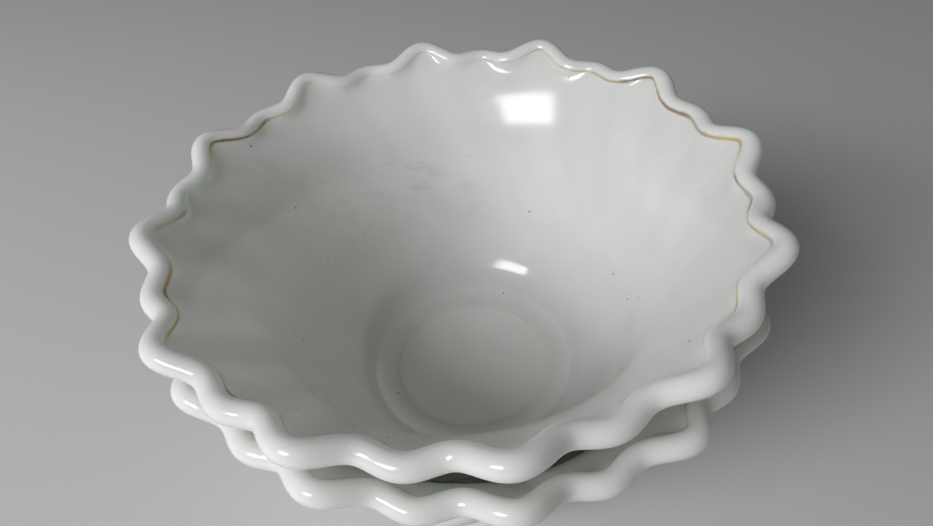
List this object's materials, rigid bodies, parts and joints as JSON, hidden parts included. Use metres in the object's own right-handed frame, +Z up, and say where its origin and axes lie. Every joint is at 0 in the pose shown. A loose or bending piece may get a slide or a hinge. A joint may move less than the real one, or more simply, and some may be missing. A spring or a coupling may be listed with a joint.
{
  "type": "nested pair of serving bowls",
  "caption": "Two matching scalloped opaque white glass bowls, one nested in the other, with thick rolled rims, swirled ribs outside and a smooth inside.",
  "frame": {"origin": "centre of the lower bowl's foot, on the surface that it stands on", "axes": "+Z up along the lower bowl's own axis; +X through the crest of one of the lower bowl's large rim lobes; the upper bowl leans with its high side towards +X+Y"},
  "size_m": [0.2075, 0.2071, 0.1436],
  "materials": {
    "white_glass": "opaque white pressed glass, smooth and glossy, faint yellow-brown staining along the inside edge of the rim"
  },
  "bodies": {
    "lower_bowl": {"lower_bowl": "white_glass"},
    "upper_bowl": {"upper_bowl": "white_glass"}
  },
  "joints": [
    {"name": "upper_bowl_lift", "type": "slide", "parent": "lower_bowl", "child": "upper_bowl", "axis": [0, 0, 1], "range_m": [0, 0.14]}
  ]
}
